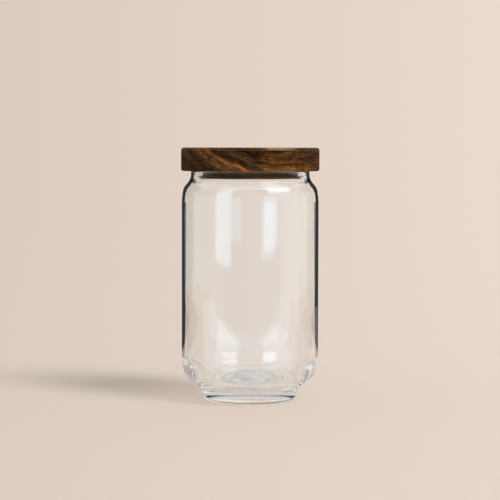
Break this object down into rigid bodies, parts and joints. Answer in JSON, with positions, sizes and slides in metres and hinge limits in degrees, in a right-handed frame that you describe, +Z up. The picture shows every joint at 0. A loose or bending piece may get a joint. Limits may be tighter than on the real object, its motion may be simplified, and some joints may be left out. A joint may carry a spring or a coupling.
{
  "type": "storage jar",
  "caption": "Clear glass food storage jar with a narrow foot and neck, closed by a turned dark wood lid that pushes in on a silicone sealing ring.",
  "frame": {"origin": "centre of the ring that the foot stands on, at the underside of the glass", "axes": "+Z up along the axis of the jar, towards the lid; +X to the right and +Y away from the viewer as pictured"},
  "size_m": [0.096, 0.096, 0.1752],
  "materials": {
    "glass": "clear, fire-polished",
    "wood": "oiled dark hardwood with a satin sheen",
    "silicone": "translucent, matt"
  },
  "bodies": {
    "jar": {"glass_jar": "glass"},
    "lid": {"wooden_lid": "wood", "seal_ring": "silicone"}
  },
  "joints": [
    {"name": "lid_lift", "type": "slide", "parent": "jar", "child": "lid", "axis": [0, 0, 1], "range_m": [0, 0.06]}
  ]
}
